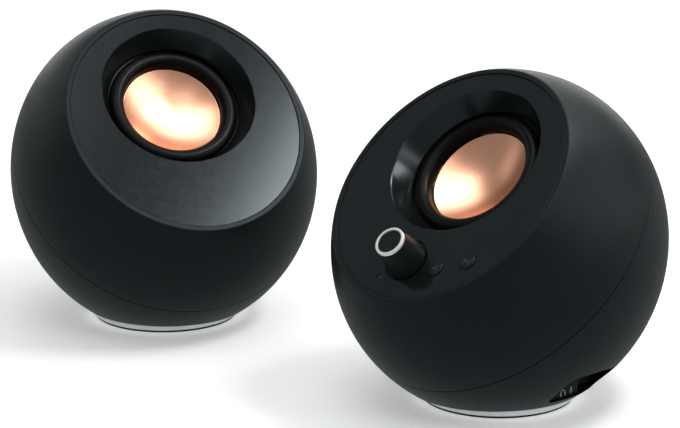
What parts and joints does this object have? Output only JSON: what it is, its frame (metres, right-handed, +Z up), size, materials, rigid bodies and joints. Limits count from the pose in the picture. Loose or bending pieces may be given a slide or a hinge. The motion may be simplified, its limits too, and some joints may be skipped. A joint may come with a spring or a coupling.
{
  "type": "desktop speakers",
  "caption": "Pair of ball-shaped desktop speakers with tilted flat faces, copper driver cones, rear passive radiators, lit bases, a volume knob, two buttons and socket pockets.",
  "frame": {"origin": "at table height, in the middle of the box around both speakers as they stand", "axes": "+Z up, +X towards the right speaker's side, the listener sits on the -Y side"},
  "size_m": [0.2474, 0.2268, 0.1199],
  "materials": {
    "shell_black": "fine satin texture",
    "plate_black": "smooth satin",
    "copper_cone": "satin metallic copper coating",
    "rubber": "smooth semi-gloss",
    "steel": "satin",
    "ferrite": "matt",
    "spider_cloth": "woven, resin coated",
    "coil": "paper former with wound wire",
    "frosted_glow": "translucent frosted",
    "knob_silver": "satin",
    "board_green": "solder mask",
    "socket_black": "satin",
    "light_pipe": "clear"
  },
  "bodies": {
    "root": {"amplifier_board": "board_green", "aux_jack": "socket_black", "control_board": "board_green", "encoder": "steel", "headphone_jack": "socket_black", "microphone_jack": "socket_black", "rear_port_tray": "shell_black", "right_base_plate": "socket_black", "right_base_screw_1": "steel", "right_base_screw_2": "steel", "right_driver_basket": "steel", "right_driver_surround": "rubber", "right_face_plate": "plate_black", "right_front_shell": "shell_black", "right_led_board": "board_green", "right_light_ring": "frosted_glow", "right_link_jack": "socket_black", "right_magnet": "ferrite", "right_radiator_frame": "shell_black", "right_radiator_surround": "rubber", "right_rear_shell": "shell_black", "right_rubber_foot": "rubber", "right_spider": "spider_cloth", "right_top_plate": "steel", "right_yoke": "steel", "side_port_tray": "shell_black", "status_light": "light_pipe", "usb_socket": "steel"},
    "left_speaker": {"left_base_plate": "socket_black", "left_base_screw_1": "steel", "left_base_screw_2": "steel", "left_driver_basket": "steel", "left_driver_surround": "rubber", "left_face_plate": "plate_black", "left_front_shell": "shell_black", "left_led_board": "board_green", "left_light_ring": "frosted_glow", "left_link_jack": "socket_black", "left_magnet": "ferrite", "left_port_tray": "shell_black", "left_radiator_frame": "shell_black", "left_radiator_surround": "rubber", "left_rear_shell": "shell_black", "left_rubber_foot": "rubber", "left_spider": "spider_cloth", "left_top_plate": "steel", "left_yoke": "steel"},
    "knob": {"knob_cap": "shell_black", "knob_ring": "knob_silver", "encoder_shaft": "steel"},
    "source_button": {"source_button": "plate_black"},
    "pairing_button": {"pairing_button": "plate_black"},
    "right_cone": {"right_driver_cone": "copper_cone", "right_voice_coil": "coil"},
    "left_cone": {"left_driver_cone": "copper_cone", "left_voice_coil": "coil"},
    "right_radiator": {"right_radiator_diaphragm": "plate_black", "right_radiator_weight": "steel"},
    "left_radiator": {"left_radiator_diaphragm": "plate_black", "left_radiator_weight": "steel"}
  },
  "joints": [
    {"name": "left_speaker_place", "type": "slide", "parent": "root", "child": "left_speaker", "axis": [-1, 0, 0], "range_m": [0, 0.15]},
    {"name": "knob_turn", "type": "hinge", "parent": "root", "child": "knob", "pos_m": [0.02494, -0.09178, 0.06609], "axis": [-0.5, -0.5, 0.7071], "continuous": true},
    {"name": "source_press", "type": "slide", "parent": "root", "child": "source_button", "axis": [0.5, 0.5, -0.7071], "range_m": [0, 0.0004], "stiffness_N_per_m": 900},
    {"name": "pairing_press", "type": "slide", "parent": "root", "child": "pairing_button", "axis": [0.5, 0.5, -0.7071], "range_m": [0, 0.0004], "stiffness_N_per_m": 900},
    {"name": "right_cone_travel", "type": "slide", "parent": "root", "child": "right_cone", "axis": [-0.5, -0.5, 0.7071], "range_m": [-0.002, 0.002], "stiffness_N_per_m": 1800, "deforming": ["right_driver_surround", "right_spider"]},
    {"name": "left_cone_travel", "type": "slide", "parent": "left_speaker", "child": "left_cone", "axis": [0.2649, -0.6556, 0.7071], "range_m": [-0.002, 0.002], "stiffness_N_per_m": 1800, "deforming": ["left_driver_surround", "left_spider"]},
    {"name": "right_radiator_travel", "type": "slide", "parent": "root", "child": "right_radiator", "axis": [0.7071, 0.7071, 0], "range_m": [-0.0022, 0.0022], "stiffness_N_per_m": 700, "deforming": ["right_radiator_surround"]},
    {"name": "left_radiator_travel", "type": "slide", "parent": "left_speaker", "child": "left_radiator", "axis": [-0.3746, 0.9272, 0], "range_m": [-0.0022, 0.0022], "stiffness_N_per_m": 700, "deforming": ["left_radiator_surround"]}
  ]
}
